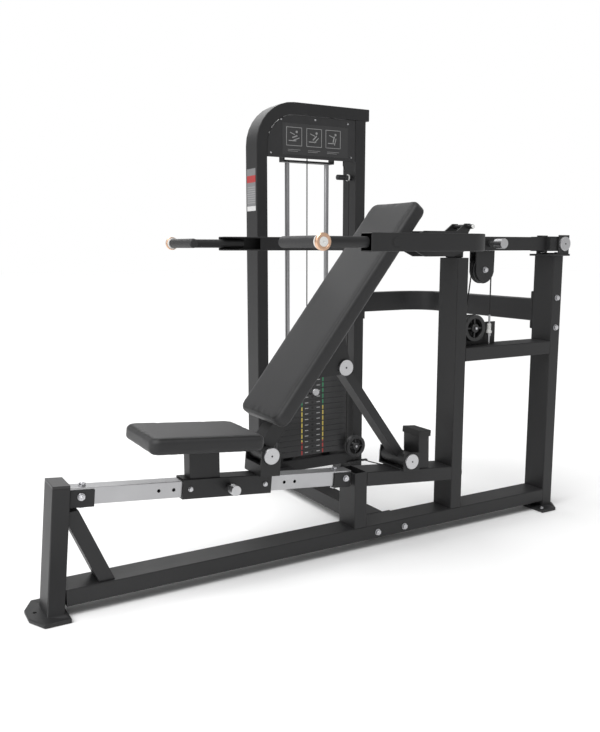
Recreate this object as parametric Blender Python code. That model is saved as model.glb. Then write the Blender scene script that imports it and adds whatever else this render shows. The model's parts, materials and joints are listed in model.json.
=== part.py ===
"""Selectorised adjustable press machine: a sliding bench with a strut-linked backrest,
a swinging press arm over it and a weight tower at the side.  Metres, +Z up.
X runs along the main beam from the front foot to the rear foot, Y towards the tower."""

import math

import bmesh
import bpy
from mathutils import Matrix, Vector
from mathutils.geometry import tessellate_polygon

for old in list(bpy.data.objects):
    bpy.data.objects.remove(old, do_unlink=True)

GAP = 0.0003                    # clearance between touching pieces
WALL = 0.003                    # tube wall
HALF = 0.050                    # half the 100 mm side of the main tube
BEAM_Z0 = 0.030                 # underside and top of the floor beams
BEAM_Z1 = 0.080
FOOT_T = 0.012

SLOPE = 0.0884                  # fall of the rail towards the rear
TILT = math.atan(SLOPE)
RAIL_Z = 0.3483                 # rail centre line at X = 0
RAIL_HALF = 0.025
FRONT_X = 0.013                 # front post centre line at Z = 0
SHORT_X0, SHORT_X1 = 1.024, 1.074
MID_X0, MID_X1 = 1.451, 1.501
REAR_X0, REAR_X1 = 1.930, 1.980
SUPPORT_Z = 0.3448              # support beam centre line at X = 0

SLEEVE_X0, SLEEVE_X1 = 0.409, 0.713
SLEEVE_HALF = 0.031
LOCK_X = 0.562                  # rail hole the bench pin stands in
RAIL_HOLES = (0.335, 0.382, 0.427, 0.472, 0.517, 0.562, 0.607, 0.652, 0.697, 0.762, 0.801)

PIVOT_BACK = (0.697, 0.385)     # backrest on carriage, X and Z
PIVOT_TOP = (0.988, 0.643)      # strut on backrest
PIVOT_LOW = (1.243, 0.296)      # strut on frame
PAD_FOOT = (0.6705, 0.5136)     # lower front edge of the backrest cushion
PAD_ANGLE = math.radians(51.8)
PAD_LENGTH = 0.864
PAD_T = 0.055
CUSHION_HALF = 0.130
DISC_R = 0.027

TOWER_Y0, TOWER_Y1 = 0.746, 0.846
TOWER_Y = 0.796
TOWER_X0, TOWER_X1 = 1.064, 1.599
TOWER_TOP = 1.630
TOWER_BASE_Z0, TOWER_BASE_Z1 = 0.056, 0.106
ROD_MID = 1.3315
ROD_OFF = 0.098
PLATE_W, PLATE_D, PLATE_T = 0.365, 0.100, 0.025
STACK_Z0 = 0.121
RESTING = 11
LIFTED = 3

LEVER_AXIS = (1.972, 1.050)     # X and Z of the press lever's axle
ARM_Y = 0.461                   # centre plane of each arm
CROSS_X = 1.176                 # where each arm turns in towards the lever
YOKE_X = 1.310                  # middle of the yoke, ahead of the lever
YOKE_FLAT = 0.040               # half the straight stretch across the middle
ARM_Z = 1.050
SWIVEL_X = 0.850
GRIP_X = 0.603
GRIP_Y0, GRIP_Y1 = 0.310, 0.522
HANDLE_R = 0.016

WHEEL_R = 0.050
GROOVE_R = 0.0472               # cable centre line round a wheel
GROOVE_FLOOR = 0.041
LIFT_WHEEL = (1.609, 0.955)
GUIDE_WHEEL = (1.579, 0.741)
LOW_WHEEL = (1.545, 0.138)
BASE_WHEEL = (0.0472, 0.195)    # Y and Z, wheel turning about X at CABLE_X
CABLE_X = 1.534
CABLE_R = 0.0025


# ---------------------------------------------------------------- materials
def material(name, colour, metallic, rough):
    m = bpy.data.materials.new(name)
    m.use_nodes = True
    b = m.node_tree.nodes["Principled BSDF"]
    b.inputs["Base Color"].default_value = (*colour, 1)
    b.inputs["Metallic"].default_value = metallic
    b.inputs["Roughness"].default_value = rough
    return m


LOOK = {
    "paint": ((0.030, 0.030, 0.032), 0.2, 0.55),
    "vinyl": ((0.060, 0.060, 0.062), 0.0, 0.6),
    "satin": ((0.62, 0.62, 0.63), 1.0, 0.3),
    "disc": ((0.75, 0.75, 0.75), 1.0, 0.35),
    "rubber": ((0.020, 0.020, 0.020), 0.0, 0.8),
    "plastic": ((0.035, 0.035, 0.035), 0.0, 0.45),
    "iron": ((0.040, 0.040, 0.042), 0.3, 0.5),
    "cable": ((0.012, 0.012, 0.012), 0.0, 0.5),
    "grip": ((0.050, 0.050, 0.050), 0.0, 0.7),
}


# ---------------------------------------------------------------- builders
def finish(name, bm, look):
    bmesh.ops.recalc_face_normals(bm, faces=bm.faces)
    me = bpy.data.meshes.new(name)
    bm.to_mesh(me)
    bm.free()
    ob = bpy.data.objects.new(name, me)
    bpy.context.scene.collection.objects.link(ob)
    me.materials.append(material(name, *LOOK[look]))
    return ob


def plane(origin, u, v):
    """Matrix whose local X, Y, Z are u, v and u x v, placed at origin."""
    u, v = Vector(u).normalized(), Vector(v).normalized()
    w = u.cross(v)
    rows = [(u[i], v[i], w[i], origin[i]) for i in range(3)]
    return Matrix(rows + [(0, 0, 0, 1)])


def prism(name, outline, holes, depth, where, look):
    """Outline with holes in the local XY plane, extruded from 0 to depth along local Z."""
    loops = [outline] + list(holes)
    bm = bmesh.new()
    ends = []
    for z in (0, depth):
        ends.append([[bm.verts.new((x, y, z)) for x, y in loop] for loop in loops])
    flat = [[Vector((x, y, 0)) for x, y in loop] for loop in loops]
    tris = tessellate_polygon(flat)
    for level in ends:
        verts = [v for loop in level for v in loop]
        for tri in tris:
            bm.faces.new([verts[i] for i in tri])
    for low, high in zip(*ends):
        for i in range(len(low)):
            j = (i + 1) % len(low)
            bm.faces.new((low[i], low[j], high[j], high[i]))
    bm.transform(where)
    return finish(name, bm, look)


def box(name, low, high, look):
    bm = bmesh.new()
    bmesh.ops.create_cube(bm, size=1)
    size = [b - a for a, b in zip(low, high)]
    mid = [(a + b) / 2 for a, b in zip(low, high)]
    bm.transform(Matrix.Translation(mid) @ Matrix.Diagonal((*size, 1)))
    return finish(name, bm, look)


def circle(r, n, cx=0.0, cy=0.0):
    return [(cx + r * math.cos(math.tau * i / n), cy + r * math.sin(math.tau * i / n))
            for i in range(n)]


def rect(hx, hy):
    return [(-hx, -hy), (hx, -hy), (hx, hy), (-hx, hy)]


def rounded(x0, y0, x1, y1, r, n=4):
    pts = []
    corners = ((x1 - r, y0 + r, -90), (x1 - r, y1 - r, 0), (x0 + r, y1 - r, 90), (x0 + r, y0 + r, 180))
    for cx, cy, start in corners:
        for i in range(n + 1):
            a = math.radians(start + 90 * i / n)
            pts.append((cx + r * math.cos(a), cy + r * math.sin(a)))
    return pts


def arc(cx, cy, r, a0, a1, n):
    return [(cx + r * math.cos(math.radians(a0 + (a1 - a0) * i / n)),
             cy + r * math.sin(math.radians(a0 + (a1 - a0) * i / n))) for i in range(n + 1)]


def sweep(name, path, side, sections, look, cut0=None, cut1=None):
    """Sections (one for solid, two for hollow) of (side, normal) offsets swept along a path."""
    path = [Vector(p) for p in path]
    side = Vector(side).normalized()
    bm = bmesh.new()
    rings = []
    for i, p in enumerate(path):
        back = (p - path[i - 1]).normalized() if i else (path[1] - p).normalized()
        ahead = (path[i + 1] - p).normalized() if i + 1 < len(path) else back
        run = back
        cut = (back + ahead).normalized()
        if i == 0 and cut0:
            cut = Vector(cut0).normalized()
        if i + 1 == len(path) and cut1:
            cut = Vector(cut1).normalized()
        norm = run.cross(side)
        ring = []
        for section in sections:
            loop = []
            for a, b in section:
                off = side * a + norm * b
                loop.append(bm.verts.new(p + off - run * (off.dot(cut) / run.dot(cut))))
            ring.append(loop)
        rings.append(ring)
    for r0, r1 in zip(rings, rings[1:]):
        for l0, l1 in zip(r0, r1):
            for i in range(len(l0)):
                j = (i + 1) % len(l0)
                bm.faces.new((l0[i], l0[j], l1[j], l1[i]))
    for ring in (rings[0], rings[-1]):
        if len(ring) == 1:
            bm.faces.new(ring[0])
        else:
            for i in range(len(ring[0])):
                j = (i + 1) % len(ring[0])
                bm.faces.new((ring[0][i], ring[0][j], ring[1][j], ring[1][i]))
    return finish(name, bm, look)


def tube(name, path, side, width, height, look="paint", wall=WALL, cut0=None, cut1=None):
    """Hollow, open-ended rectangular tube; width runs along side."""
    outer = rect(width / 2, height / 2)
    inner = rect(width / 2 - wall, height / 2 - wall)
    return sweep(name, path, side, (outer, inner), look, cut0, cut1)


def rod(name, path, side, r, n, look):
    return sweep(name, path, side, (circle(r, n),), look)


def lathe(name, profile, origin, axis, ref, n, look):
    """Closed profile of (radius, along) turned about axis; radius 0 closes on the axis."""
    bm = bmesh.new()
    where = plane(origin, ref, Vector(axis).cross(Vector(ref)))
    rings = []
    for r, h in profile:
        if r == 0:
            rings.append([bm.verts.new((0, 0, h))] * n)
        else:
            rings.append([bm.verts.new((x, y, h)) for x, y in circle(r, n)])
    for k in range(len(rings)):
        a, b = rings[k], rings[(k + 1) % len(rings)]
        for i in range(n):
            j = (i + 1) % n
            quad = []
            for v in (a[i], a[j], b[j], b[i]):
                if v not in quad:
                    quad.append(v)
            if len(quad) > 2:
                bm.faces.new(quad)
    bm.transform(where)
    return finish(name, bm, look)


def drill(target, cutters):
    """Cut the given cylinders out of a piece."""
    for k, (origin, axis, ref, r, length) in enumerate(cutters):
        ends = [(0, 0), (r, 0), (r, length), (0, length)]
        tool = lathe(f"{target.name}_tool_{k}", ends, origin, axis, ref, 16, "paint")
        tool.hide_render = True
        tool.display_type = "WIRE"
        cut = target.modifiers.new(f"hole_{k}", "BOOLEAN")
        cut.operation = "DIFFERENCE"
        cut.solver = "EXACT"
        cut.object = tool


def weld(target, tools):
    """Join overlapping welded members into one closed piece."""
    for k, tool in enumerate(tools):
        tool.hide_render = True
        tool.display_type = "WIRE"
        join = target.modifiers.new(f"weld_{k}", "BOOLEAN")
        join.operation = "UNION"
        join.solver = "EXACT"
        join.object = tool
    return target


ALONG = (math.cos(TILT), 0, -math.sin(TILT))        # down the rail
LIFT = (math.sin(TILT), 0, math.cos(TILT))          # square to the rail
YY = (0, 1, 0)
ZZ = (0, 0, 1)
XX = (1, 0, 0)


def rail_at(x, rise=0.0, y=0.0):
    """Point over the rail centre line at X, raised square to the rail."""
    base = Vector((x, y, RAIL_Z - SLOPE * x))
    return base + Vector(LIFT) * rise


def pad_point(t, depth):
    """Point in the backrest's side plane: t up the cushion, depth behind its front face."""
    u = Vector((math.cos(PAD_ANGLE), 0, math.sin(PAD_ANGLE)))
    n = Vector((math.sin(PAD_ANGLE), 0, -math.cos(PAD_ANGLE)))
    return Vector((PAD_FOOT[0], 0, PAD_FOOT[1])) + u * t + n * depth


# ---------------------------------------------------------------- floor frame and posts
def floor_frame():
    made = [tube("main_beam", [(0.0455, 0, 0.055), (REAR_X0 - GAP, 0, 0.055)], YY, 0.1, 0.05)]
    foot = FRONT_X + SLOPE * 0.0110
    top = FRONT_X + SLOPE * 0.376
    front = tube("front_post", [(foot, 0, 0.0110), (top, 0, 0.376)], YY, 0.1, 0.05, cut0=ZZ)
    base = Vector((top, 0, 0.376)) + Vector(LIFT) * GAP
    made.append(prism("front_post_cap", rounded(-0.025, -0.05, 0.025, 0.05, 0.004, 2), [],
                      0.008, plane(base, ALONG, YY), "plastic"))
    near = [(-0.057, -0.033), (-0.027, -0.092), (0.048, -0.092), (0.048, 0.092),
            (-0.027, 0.092), (-0.057, 0.033)]
    bolt = circle(0.006, 32, -0.034, 0)
    foot = prism("front_foot", near, [bolt], FOOT_T, plane((0, 0, 0), XX, YY), "paint")
    made.append(weld(front, [foot]))
    rear = [(1.889, -0.092), (1.962, -0.092), (2.002, -0.033), (2.002, 0.033),
            (1.962, 0.092), (1.889, 0.092)]
    foot = prism("rear_foot", rear, [], FOOT_T, plane((0, 0, 0), XX, YY), "paint")
    post = tube("rear_post", [(1.955, 0, 0.011), (1.955, 0, 1.004)], YY, 0.1, 0.05)
    made.append(weld(post, [foot]))
    low, high = 0.2665, 0.3035
    edge = FRONT_X + 0.0254
    brace = [(0.142, BEAM_Z1 + GAP), (0.189, BEAM_Z1 + GAP), (0.093, high),
             (edge + SLOPE * high, high), (edge + SLOPE * low, low)]
    made.append(prism("front_brace", brace, [], 0.08, plane((0, 0.04, 0), XX, ZZ), "paint"))
    made.append(tube("short_post", [(1.049, 0, BEAM_Z1 + GAP), (1.049, 0, 0.276)], YY, 0.1, 0.05))
    made.append(tube("middle_post", [(1.476, 0, BEAM_Z1 + GAP), (1.476, 0, 1.000)], YY, 0.1, 0.05))
    x0, x1 = SHORT_X1 + GAP, MID_X0 - GAP
    ends = [(x, 0, SUPPORT_Z - SLOPE * x) for x in (x0, x1)]
    made.append(tube("support_beam", ends, YY, 0.1, 0.05, cut0=XX, cut1=XX))
    upper = tube("upper_beam", [(MID_X1 + GAP, 0, 0.652), (REAR_X0 - GAP, 0, 0.652)], YY, 0.1, 0.05)
    drill(upper, [((CABLE_X, 0, 0.620), ZZ, XX, 0.009, 0.065)])
    made.append(upper)
    made.append(box("post_bumper", (1.456, -0.027, 1.0003), (1.496, 0.027, 1.0244), "rubber"))
    return made


def rail_group():
    start = rail_at(0.0690)
    stop = rail_at(SHORT_X0 - GAP)
    rail = tube("slide_rail", [start, stop], YY, 0.05, 0.05, "satin", cut1=XX)
    holes = [(rail_at(x, 0, -0.030), YY, XX, 0.0055, 0.010) for x in RAIL_HOLES]
    drill(rail, holes)
    made = [rail]
    cup = [(-0.031, -0.031), (0.031, -0.031), (0.031, 0.019), (0.0253, 0.019),
           (0.0253, -0.0253), (-0.0253, -0.0253), (-0.0253, 0.019), (-0.031, 0.019)]
    for name, x, length in (("rail_front_bracket", 0.0725, 0.070), ("rail_rear_bracket", 0.953, 0.065)):
        made.append(prism(name, cup, [], length, plane(rail_at(x), YY, LIFT), "paint"))
    return made


def support_group():
    def deck(x, rise=0.0):
        return Vector((x, 0, SUPPORT_Z - SLOPE * x)) + Vector(LIFT) * (RAIL_HALF + GAP + rise)
    made = []
    low = deck(1.322)
    made.append(tube("rest_post", [low, (1.322, 0, 0.3700)], YY, 0.088, 0.048, cut0=LIFT, cut1=LIFT))
    cap = Vector((1.322, 0, 0.3700)) + Vector(LIFT) * GAP
    made.append(prism("rest_pad", rounded(-0.029, -0.050, 0.029, 0.050, 0.008, 2), [], 0.022,
                      plane(cap, ALONG, YY), "rubber"))
    base = deck(PIVOT_LOW[0] - 0.035)
    rise = 0.066
    cup = [(-0.074, 0), (0.074, 0), (0.074, rise), (0.068, rise), (0.068, 0.006), (-0.068, 0.006),
           (-0.068, rise), (-0.074, rise)]
    bracket = prism("strut_bracket", cup, [], 0.070, plane(base, YY, LIFT), "paint")
    drill(bracket, [((PIVOT_LOW[0], -0.08, PIVOT_LOW[1]), YY, XX, 0.0105, 0.16)])
    made.append(bracket)
    made.append(axle("strut_pin", PIVOT_LOW, 0.0743))
    return made


def axle(name, at, half):
    """Shaft through a pivot with a turned disc over each end."""
    edge = half + 0.008
    prof = [(0, -edge), (DISC_R - 0.001, -edge), (DISC_R, 0.001 - edge), (DISC_R, -half - GAP),
            (0.010, -half - GAP), (0.010, half + GAP), (DISC_R, half + GAP), (DISC_R, edge - 0.001),
            (DISC_R - 0.001, edge), (0, edge)]
    return lathe(name, prof, (at[0], 0, at[1]), YY, ZZ, 24, "disc")


# ---------------------------------------------------------------- bench
def bench():
    carriage = []
    sleeve = tube("carriage_sleeve", [rail_at(SLEEVE_X0), rail_at(SLEEVE_X1)], YY,
                  2 * SLEEVE_HALF, 2 * SLEEVE_HALF, wall=0.0055)
    drill(sleeve, [(rail_at(LOCK_X, 0, -0.035), YY, XX, 0.0058, 0.012)])
    carriage.append(sleeve)
    foot = rail_at(0.4825, SLEEVE_HALF + GAP)
    top = rail_at(0.4825, 0.1250)
    carriage.append(tube("seat_post", [foot, (foot.x, 0, top.z)], YY, 0.05, 0.10, cut0=LIFT, cut1=LIFT))
    deck = rail_at(0.370, 0.1256)
    carriage.append(prism("seat_plate", rounded(0, -0.07, 0.21, 0.07, 0.01, 2), [], 0.005,
                          plane(deck, ALONG, YY), "paint"))
    seat = cushion("seat_cushion", 0.366, plane(rail_at(0.2680, 0.1312), ALONG, YY), 0.050)
    carriage.append(seat)
    base = rail_at(0.6560, SLEEVE_HALF + GAP)
    block = [(-0.057, 0), (0.057, 0), (0.057, 0.082), (0.051, 0.082), (0.051, 0.036),
             (-0.051, 0.036), (-0.051, 0.082), (-0.057, 0.082)]
    bracket = prism("back_bracket", block, [], 0.070, plane(base, YY, LIFT), "paint")
    drill(bracket, [((PIVOT_BACK[0], -0.06, PIVOT_BACK[1]), YY, XX, 0.0105, 0.12)])
    carriage.append(bracket)
    carriage.append(axle("back_pin", PIVOT_BACK, 0.0573))
    return carriage


def pop_pin(name, x, z, tip, collar, knob, r, look="disc"):
    prof = [(0, tip), (0.005, tip), (0.005, collar), (r, collar), (r, knob), (0, knob)]
    return lathe(name, prof, (x, 0, z), YY, XX, 20, look)


def cushion(name, length, where, thick):
    """Closed cushion block: rounded in plan, edges eased, front-left corner at the origin."""
    ease = 0.010
    bm = bmesh.new()
    loops = []
    for inset, z in ((ease, 0), (0, ease), (0, thick - ease), (ease, thick)):
        pts = rounded(inset, inset - CUSHION_HALF, length - inset, CUSHION_HALF - inset, 0.030 - inset, 4)
        loops.append([bm.verts.new((x, y, z)) for x, y in pts])
    for a, b in zip(loops, loops[1:]):
        for i in range(len(a)):
            j = (i + 1) % len(a)
            bm.faces.new((a[i], a[j], b[j], b[i]))
    bm.faces.new(loops[0])
    bm.faces.new(loops[-1])
    bm.transform(where)
    return finish(name, bm, "vinyl")


def backrest():
    u = Vector((math.cos(PAD_ANGLE), 0, math.sin(PAD_ANGLE)))
    back = []
    corner = pad_point(0, PAD_T)
    back.append(cushion("backrest_cushion", PAD_LENGTH, plane(corner, u, YY), PAD_T))
    pivot = Vector((PIVOT_BACK[0], 0, PIVOT_BACK[1]))
    depth = 0.0828
    low = pad_point(-0.0640, depth)
    frame = tube("backrest_frame", [low, pad_point(0.430, depth)], YY, 0.060, 0.050)
    parts = []
    hub = [(0.0104, -0.0505), (0.0260, -0.0505), (0.0260, 0.0505), (0.0104, 0.0505)]
    parts.append(lathe("backrest_hub", hub, pivot, YY, ZZ, 24, "paint"))
    top = Vector((PIVOT_TOP[0], 0, PIVOT_TOP[1]))
    shape = [pad_point(0.205, 0.070), pad_point(0.385, 0.070), pad_point(0.385, 0.095)]
    heading = math.degrees(PAD_ANGLE)
    shape = [(p.x, p.z) for p in shape]
    shape += arc(top.x, top.z, 0.026, heading - 10, heading - 170, 8)
    shape += [(p.x, p.z) for p in [pad_point(0.205, 0.095)]]
    for name, y in (("strut_ear_near", -0.0297), ("strut_ear_far", 0.0362)):
        parts.append(prism(name, shape, [circle(0.0104, 16, top.x, top.z)], 0.0065,
                           plane((0, y, 0), XX, ZZ), "paint"))
    back.append(weld(frame, parts))
    back.append(axle("strut_top_pin", PIVOT_TOP, 0.0366))
    return back


def strut():
    low = Vector((PIVOT_LOW[0], 0, PIVOT_LOW[1]))
    top = Vector((PIVOT_TOP[0], 0, PIVOT_TOP[1]))
    run = (top - low).normalized()
    bar = [(-0.0288, -0.015), (0.0288, -0.015), (0.0288, 0.015), (-0.0288, 0.015)]
    body = sweep("backrest_strut", [low + run * 0.0240, top - run * 0.0190], YY, (bar,), "paint")
    hub = [(0.0104, -0.0675), (0.0285, -0.0675), (0.0285, 0.0675), (0.0104, 0.0675)]
    eye = [(0.0130, -0.0290), (0.0240, -0.0290), (0.0240, 0.0290), (0.0130, 0.0290)]
    return [weld(body, [lathe("strut_hub", hub, low, YY, ZZ, 24, "paint"),
                        lathe("strut_eye", eye, top, YY, ZZ, 20, "paint")])]


# ---------------------------------------------------------------- press arm
def press_arm():
    made = []
    y0 = -ARM_Y
    bend = 0.070
    front = 0.9200
    turn = math.atan2(ARM_Y - YOKE_FLAT, YOKE_X - CROSS_X)
    centre = CROSS_X - bend * math.tan(turn / 2)
    near = [(front, y0)] + arc(centre, y0 + bend, bend, -90, math.degrees(turn) - 90, 6)
    near.append((YOKE_X, -YOKE_FLAT))
    far = [(x, -y) for x, y in reversed(near)]
    path = [(x, y, ARM_Z) for x, y in near + far]
    yoke = tube("press_yoke", path, ZZ, 0.05, 0.05)
    x0 = YOKE_X + 0.025 + GAP
    lever = tube("press_lever", [(x0, 0, ARM_Z), (1.908, 0, ARM_Z)], YY, 0.06, 0.05)
    parts = []
    over, under = ARM_Z + 0.025 + GAP, ARM_Z - 0.025 - GAP
    plate = [(x0, over), (1.263, over), (1.310, 1.093), (1.455, 1.093), (1.492, 1.120),
             (1.515, 1.120), (1.515, 1.1005), (1.500, 1.0755), (1.500, 1.026), (1.446, 1.005),
             (1.315, 1.005), (1.270, under), (x0, under)]
    for name, y in (("lever_plate_near", -0.0297), ("lever_plate_far", 0.0362)):
        parts.append(prism(name, plate, [], 0.0065, plane((0, y, 0), XX, ZZ), "paint"))
    parts.append(rod("lever_peg", [(1.503, -0.062, 1.109), (1.503, 0.035, 1.109)], XX, 0.008, 12, "satin"))
    hub = arc(LEVER_AXIS[0], LEVER_AXIS[1], 0.0275, -90, 90, 8)
    hub += [(1.9053, 1.0775), (1.9053, 1.0225)]
    parts.append(prism("lever_hub", hub, [circle(0.0104, 16, *LEVER_AXIS)], 0.100,
                       plane((0, 0.050, 0), XX, ZZ), "paint"))
    made.append(weld(lever, parts))
    strap = [(-0.0440, 0.0000), (-0.0440, -0.0300)] + arc(0, -0.0697, 0.0440, 170, 370, 10)
    strap += [(0.0440, -0.0300), (0.0440, 0.0000)]
    axis = LIFT_WHEEL[1] - 1.0247
    window = [circle(0.0054, 12, 0, axis)]
    hanger = box("wheel_hanger", (LIFT_WHEEL[0] - 0.044, -0.0183, 1.0185),
                 (LIFT_WHEEL[0] + 0.044, 0.0183, 1.0246), "paint")
    sides = [prism(name, strap, window, 0.005, plane((LIFT_WHEEL[0], y, 1.0245), XX, ZZ), "paint")
             for name, y in (("hanger_near", -0.0132), ("hanger_far", 0.0182))]
    made.append(weld(hanger, sides))
    ends = []
    for tag, s in (("near", -1), ("far", 1)):
        web, lip = s * (ARM_Y + 0.025), s * (ARM_Y - 0.025)
        inner = s * (ARM_Y + 0.020)
        cup = [(lip, 1.025), (web, 1.025), (web, 1.075), (lip, 1.075), (lip, 1.070),
               (inner, 1.070), (inner, 1.030), (lip, 1.030)]
        ends.append(prism(f"arm_clevis_{tag}", cup, [], 0.1522, plane((0.772, 0, 0), YY, ZZ), "paint"))
    made.append(weld(yoke, ends))
    return made


def handle(tag, s):
    """One swivelling handle: stem with an eye at the clevis and a grip across its front."""
    path = [(GRIP_X, s * ARM_Y, ARM_Z), (SWIVEL_X + 0.008, s * ARM_Y, ARM_Z)]
    stem = rod(f"handle_stem_{tag}", path, YY, HANDLE_R - 0.0005, 16, "paint")
    prof = [(0, GRIP_Y0), (HANDLE_R - 0.003, GRIP_Y0), (HANDLE_R, GRIP_Y0 + 0.003),
            (HANDLE_R, GRIP_Y1 - 0.022), (0.019, GRIP_Y1 - 0.022), (0.019, GRIP_Y1 - 0.013),
            (0.0225, GRIP_Y1 - 0.011), (0.0225, GRIP_Y1 - 0.002), (0.0205, GRIP_Y1), (0, GRIP_Y1)]
    grip = lathe(f"handle_{tag}", prof, (GRIP_X, 0, ARM_Z), (0, s, 0), ZZ, 20, "grip")
    return [weld(grip, [stem])]


def saddle():
    base = [(-0.057, 0), (0.057, 0), (0.057, 0.073), (0.051, 0.073), (0.051, 0.006),
            (-0.051, 0.006), (-0.051, 0.073), (-0.057, 0.073)]
    sole = box("saddle_plate", (1.912, -0.060, 1.0043), (2.004, 0.060, 1.0120), "paint")
    ears = prism("lever_saddle", base, [], 0.055, plane((1.945, 0, 1.0100), YY, ZZ), "paint")
    weld(ears, [sole])
    drill(ears, [((LEVER_AXIS[0], -0.06, LEVER_AXIS[1]), YY, XX, 0.0105, 0.12)])
    return [ears, axle("lever_axle", LEVER_AXIS, 0.0573)]


# ---------------------------------------------------------------- weight tower
def tower():
    made = []
    r = 0.155
    cx, cz = TOWER_X0 + 0.025 + r, TOWER_TOP - 0.025 - r
    bend = arc(cx, cz, r, 180, 90, 8)
    path = [(TOWER_X0 + 0.025, TOWER_Y, 0.011)] + [(x, TOWER_Y, z) for x, z in bend]
    path.append((1.617, TOWER_Y, TOWER_TOP - 0.025))
    bent = tube("tower_frame", path, YY, 0.1, 0.05)
    upright = tube("tower_upright", [(1.574, TOWER_Y, 0.011), (1.574, TOWER_Y, 1.5797)], YY, 0.1, 0.05)
    feet = []
    x0, x1 = TOWER_X0 + 0.05 + GAP, TOWER_X1 - 0.05 - GAP
    zc = (TOWER_BASE_Z0 + TOWER_BASE_Z1) / 2
    made.append(tube("tower_base_beam", [(x0, TOWER_Y, zc), (x1, TOWER_Y, zc)], YY, 0.1, 0.05))
    for name, x in (("tower_foot_left", 1.089), ("tower_foot_right", 1.574)):
        plan = [(x - 0.045, 0.706), (x + 0.045, 0.706), (x + 0.045, 0.886), (x - 0.045, 0.886)]
        feet.append(prism(name, plan, [], FOOT_T, plane((0, 0, 0), XX, YY), "paint"))
    made.append(weld(bent, [feet[0]]))
    flange = box("flange_tower", (1.5985, 0.7465, 0.718), (1.6075, 0.8455, 0.866), "paint")
    made.append(weld(upright, [feet[1], flange]))
    corner = arc(cx, cz, r - 0.026, 180, 90, 6)
    sign = [(x0 + 0.0005, 1.405), (x1 - 0.0005, 1.405), (x1 - 0.0005, 1.5792)] + corner[::-1]
    made.append(prism("placard", sign, [], 0.004, plane((0, 0.753, 0), XX, ZZ), "plastic"))
    top = 1.5730
    legs = [(1.206, top), (1.206, 1.392), (1.457, 1.392), (1.457, top), (1.451, top), (1.451, 1.400),
            (1.212, 1.400), (1.212, top)]
    hanger = prism("rod_bracket", legs, [], 0.040, plane((0, TOWER_Y + 0.020, 0), XX, ZZ), "paint")
    drill(hanger, [((ROD_MID, TOWER_Y, 1.385), ZZ, XX, 0.008, 0.022)])
    made.append(hanger)
    for tag, s in (("left", -1), ("right", 1)):
        x = ROD_MID + s * ROD_OFF
        made.append(rod(f"guide_rod_{tag}", [(x, TOWER_Y, TOWER_BASE_Z1 + GAP), (x, TOWER_Y, 1.3917)],
                        YY, 0.010, 16, "satin"))
        ring = [(0.0106, 0), (0.020, 0), (0.020, 0.0144), (0.0106, 0.0144)]
        seat = (x, TOWER_Y, TOWER_BASE_Z1 + GAP)
        made.append(lathe(f"stack_bumper_{tag}", ring, seat, ZZ, XX, 16, "rubber"))
    half = PLATE_W / 2
    holes = [circle(0.0112, 12, -ROD_OFF, 0), circle(0.0112, 12, ROD_OFF, 0), circle(0.0115, 12)]
    made.append(prism("plates_resting", rounded(-half, -0.05, half, 0.05, 0.006, 1), holes,
                      RESTING * PLATE_T - GAP, plane((ROD_MID, TOWER_Y, STACK_Z0), XX, YY), "iron"))
    housing = [(-0.051, -0.052), (0.051, -0.052), (0.051, -0.045), (-0.051, -0.045)]
    made.append(prism("low_wheel_bracket", housing, [], 0.014,
                      plane((LOW_WHEEL[0] + 0.0275, 0.7457, LOW_WHEEL[1] - 0.03), XX, ZZ), "paint"))
    return made


def floor_links():
    beam = tube("cross_beam", [(1.1795, 0.0580, 0.055), (1.1795, TOWER_Y0 - GAP, 0.055)], XX, 0.075, 0.05)
    plate = [(1.110, 0.031), (1.250, 0.031), (1.250, 0.079), (1.110, 0.079)]
    flange = prism("cross_beam_flange", plate, [], 0.0082, plane((0, 0.0585, 0), XX, ZZ), "paint")
    made = [weld(beam, [flange])]
    bend = arc(1.820, 0.636, 0.135, 90, 0, 8)
    path = [(1.6078, 0.771, 0.792)] + [(x, y, 0.792) for x, y in bend] + [(1.955, 0.0580, 0.792)]
    flange = box("flange_rear", (1.9295, 0.0503, 0.718), (1.9805, 0.0585, 0.866), "paint")
    made.append(weld(tube("upper_cross_tube", path, ZZ, 0.086, 0.05), [flange]))
    plate = [(1.5015, 0.6775), (1.700, 0.6775), (1.700, 0.760), (1.640, 0.760), (1.600, 0.790),
             (1.5015, 0.790)]
    back = prism("guide_bracket", plate, [circle(0.0054, 12, *GUIDE_WHEEL)], 0.006,
                 plane((0, 0.0205, 0), XX, ZZ), "paint")
    made.append(back)
    anchor = [(0, 0), (0.0045, 0), (0.0045, 0.030), (0.0075, 0.030), (0.0075, 0.040), (0.0040, 0.040),
              (0.0040, 0.109), (0, 0.109)]
    made.append(lathe("cable_anchor", anchor, (LIFT_WHEEL[0] + GROOVE_R, 0, 0.6780), ZZ, XX, 12, "satin"))
    return made


def wheel(name, origin, axis, ref):
    """Grooved cable wheel with a hub bore."""
    half = [(GROOVE_FLOOR, 0.0035), (WHEEL_R, 0.0110), (0.036, 0.0110), (0.034, 0.0060),
            (0.016, 0.0060), (0.014, 0.0125), (0.0056, 0.0125)]
    prof = [(r, -h) for r, h in reversed(half)] + half
    return lathe(name, prof, origin, axis, ref, 28, "plastic")


def wheels():
    made = {}
    made["lift_wheel"] = wheel("lift_wheel", (LIFT_WHEEL[0], 0, LIFT_WHEEL[1]), YY, ZZ)
    made["guide_wheel"] = wheel("guide_wheel", (GUIDE_WHEEL[0], 0, GUIDE_WHEEL[1]), YY, ZZ)
    made["low_wheel"] = wheel("low_wheel", (LOW_WHEEL[0], 0.722, LOW_WHEEL[1]), YY, ZZ)
    made["base_wheel"] = wheel("base_wheel", (CABLE_X, *BASE_WHEEL), XX, ZZ)
    return made


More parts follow.
